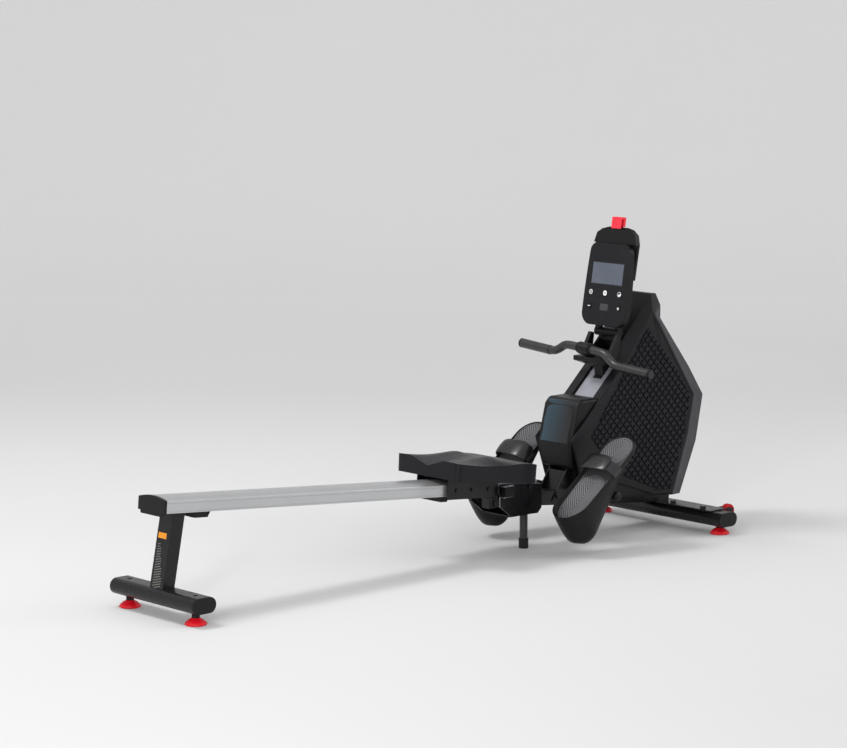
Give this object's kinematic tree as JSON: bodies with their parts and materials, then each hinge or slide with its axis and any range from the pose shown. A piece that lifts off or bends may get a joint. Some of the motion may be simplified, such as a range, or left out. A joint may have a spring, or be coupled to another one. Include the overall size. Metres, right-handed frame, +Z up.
{
  "type": "rowing machine",
  "caption": "Folding rowing machine with a sliding seat on a sloped rail, pull handle on a sprung strap, rocking footplates, enclosed flywheel drive and console.",
  "frame": {"origin": "middle of the footprint at floor level, under the machine's middle in length and width", "axes": "+X from the rear foot bar towards the flywheel housing, +Y to the left of a rower who faces the housing, +Z up"},
  "size_m": [2.1745, 0.583, 0.9959],
  "materials": {
    "black_paint": "satin black paint",
    "rail_aluminium": "satin anodised",
    "bright_steel": "brushed",
    "zinc_steel": "plated",
    "flywheel_iron": "machined",
    "charcoal_plastic": "finely grained",
    "black_plastic": "satin",
    "gloss_black": "polished",
    "red_plastic": "satin",
    "coral_plastic": "satin",
    "grey_rubber": "ribbed",
    "black_rubber": "matte",
    "grip_foam": "soft foam",
    "seat_foam": "moulded foam skin",
    "webbing": "woven",
    "label_silver": "printed plate",
    "screen_dark": "display window",
    "copper_coil": "wound coil"
  },
  "bodies": {
    "frame": {"front_crossbar": "black_paint", "crossbar_end_caps": "black_plastic", "main_beam": "black_paint", "frame_side_plates": "black_paint", "hinge_bracket": "black_paint", "pins_and_axles": "zinc_steel", "middle_leg": "bright_steel", "middle_leg_boot": "black_rubber", "housing_cover_left": "charcoal_plastic", "housing_cover_right": "charcoal_plastic", "column_cover": "charcoal_plastic", "label_plate": "label_silver", "pod_cover": "gloss_black", "handle_cradle": "black_plastic", "console_neck": "black_plastic", "console_back": "black_plastic", "console_front": "charcoal_plastic", "console_screens": "screen_dark", "phone_rest": "black_plastic", "drive_belt": "black_rubber", "alternator_stator": "copper_coil", "frame_fasteners": "zinc_steel"},
    "rail": {"rail": "rail_aluminium", "rail_end_cap": "black_plastic", "rail_fittings": "black_rubber", "rear_post": "black_paint", "rear_bar": "black_paint", "rear_bar_caps": "black_plastic"},
    "lock_pin": {"lock_pin": "black_plastic"},
    "seat": {"seat_pad": "seat_foam", "seat_base": "black_paint", "seat_axles": "zinc_steel"},
    "rear_seat_rollers": {"rear_seat_rollers": "black_plastic"},
    "front_seat_rollers": {"front_seat_rollers": "black_plastic"},
    "handle": {"handle_bar": "black_paint", "handle_grips": "grip_foam", "handle_clamp": "black_plastic", "pull_strap": "webbing"},
    "strap_spool": {"strap_spool": "black_plastic"},
    "drive_pulley": {"drive_pulley": "black_plastic"},
    "flywheel": {"flywheel": "flywheel_iron", "flywheel_pulley": "zinc_steel"},
    "pedal_left": {"footplate_left": "black_plastic", "foot_pad_left": "grey_rubber", "foot_strap_left": "webbing"},
    "pedal_right": {"footplate_right": "black_plastic", "foot_pad_right": "grey_rubber", "foot_strap_right": "webbing"},
    "rear_foot_left": {"rear_foot_left": "red_plastic"},
    "rear_foot_right": {"rear_foot_right": "red_plastic"},
    "front_foot_left": {"front_foot_left": "red_plastic"},
    "front_foot_right": {"front_foot_right": "red_plastic"},
    "transport_wheel_left": {"transport_wheel_left": "red_plastic"},
    "transport_wheel_right": {"transport_wheel_right": "red_plastic"},
    "programme_button": {"programme_button": "black_plastic"},
    "start_button": {"start_button": "black_plastic"},
    "display_button": {"display_button": "black_plastic"},
    "minus_button": {"minus_button": "black_plastic"},
    "plus_button": {"plus_button": "black_plastic"},
    "phone_clip": {"phone_clip": "coral_plastic"}
  },
  "joints": [
    {"name": "rail_fold", "type": "hinge", "parent": "frame", "child": "rail", "pos_m": [0.303, 0, 0.205], "axis": [0, 1, 0], "range_deg": [0, 80]},
    {"name": "lock_pin_pull", "type": "slide", "parent": "frame", "child": "lock_pin", "axis": [0, -1, 0], "range_m": [0, 0.012], "stiffness_N_per_m": 300},
    {"name": "seat_slide", "type": "slide", "parent": "rail", "child": "seat", "axis": [0.9969, 0, -0.0785], "range_m": [-0.86, 0]},
    {"name": "rear_seat_roll", "type": "hinge", "parent": "seat", "child": "rear_seat_rollers", "pos_m": [-0.01827, 0, 0.26519], "axis": [0, 1, 0], "continuous": true},
    {"name": "front_seat_roll", "type": "hinge", "parent": "seat", "child": "front_seat_rollers", "pos_m": [0.14124, 0, 0.25264], "axis": [0, 1, 0], "continuous": true},
    {"name": "handle_pull", "type": "slide", "parent": "frame", "child": "handle", "axis": [1, 0, 0], "range_m": [-1.2, 0], "deforming": ["pull_strap"]},
    {"name": "spool_spin", "type": "hinge", "parent": "frame", "child": "strap_spool", "pos_m": [0.653, 0, 0.38], "axis": [0, 1, 0], "continuous": true},
    {"name": "flywheel_spin", "type": "hinge", "parent": "frame", "child": "flywheel", "pos_m": [0.853, 0, 0.38], "axis": [0, 1, 0], "continuous": true},
    {"name": "drive_pulley_spin", "type": "hinge", "parent": "frame", "child": "drive_pulley", "pos_m": [0.653, 0, 0.38], "axis": [0, 1, 0], "continuous": true},
    {"name": "pedal_rock_left", "type": "hinge", "parent": "frame", "child": "pedal_left", "pos_m": [0.506, 0.19, 0.171], "axis": [0, -1, 0], "range_deg": [-20, 0]},
    {"name": "pedal_rock_right", "type": "hinge", "parent": "frame", "child": "pedal_right", "pos_m": [0.506, -0.19, 0.171], "axis": [0, -1, 0], "range_deg": [-20, 0]},
    {"name": "rear_foot_adjust_left", "type": "slide", "parent": "rail", "child": "rear_foot_left", "axis": [0, 0, -1], "range_m": [0, 0.008]},
    {"name": "rear_foot_adjust_right", "type": "slide", "parent": "rail", "child": "rear_foot_right", "axis": [0, 0, -1], "range_m": [0, 0.008]},
    {"name": "front_foot_adjust_left", "type": "slide", "parent": "frame", "child": "front_foot_left", "axis": [0, 0, -1], "range_m": [0, 0.008]},
    {"name": "front_foot_adjust_right", "type": "slide", "parent": "frame", "child": "front_foot_right", "axis": [0, 0, -1], "range_m": [0, 0.008]},
    {"name": "transport_wheel_roll_left", "type": "hinge", "parent": "frame", "child": "transport_wheel_left", "pos_m": [1.017, 0.23, 0.062], "axis": [0, 1, 0], "continuous": true},
    {"name": "transport_wheel_roll_right", "type": "hinge", "parent": "frame", "child": "transport_wheel_right", "pos_m": [1.017, -0.23, 0.062], "axis": [0, 1, 0], "continuous": true},
    {"name": "programme_button_press", "type": "slide", "parent": "frame", "child": "programme_button", "axis": [0.988, 0, -0.1547], "range_m": [0, 0.001], "stiffness_N_per_m": 800},
    {"name": "start_button_press", "type": "slide", "parent": "frame", "child": "start_button", "axis": [0.988, 0, -0.1547], "range_m": [0, 0.001], "stiffness_N_per_m": 800},
    {"name": "display_button_press", "type": "slide", "parent": "frame", "child": "display_button", "axis": [0.988, 0, -0.1547], "range_m": [0, 0.001], "stiffness_N_per_m": 800},
    {"name": "minus_button_press", "type": "slide", "parent": "frame", "child": "minus_button", "axis": [0.988, 0, -0.1547], "range_m": [0, 0.001], "stiffness_N_per_m": 800},
    {"name": "plus_button_press", "type": "slide", "parent": "frame", "child": "plus_button", "axis": [0.988, 0, -0.1547], "range_m": [0, 0.001], "stiffness_N_per_m": 800},
    {"name": "phone_clip_pull", "type": "slide", "parent": "frame", "child": "phone_clip", "axis": [0.1547, 0, 0.988], "range_m": [0, 0.04], "stiffness_N_per_m": 100}
  ],
  "couplings": [
    {"joint": "rear_seat_roll", "follows": "seat_slide", "rad_per_m": 83.333},
    {"joint": "front_seat_roll", "follows": "seat_slide", "rad_per_m": 83.333},
    {"joint": "spool_spin", "follows": "handle_pull", "rad_per_m": 29.412},
    {"joint": "drive_pulley_spin", "follows": "flywheel_spin", "ratio": 0.36667}
  ]
}
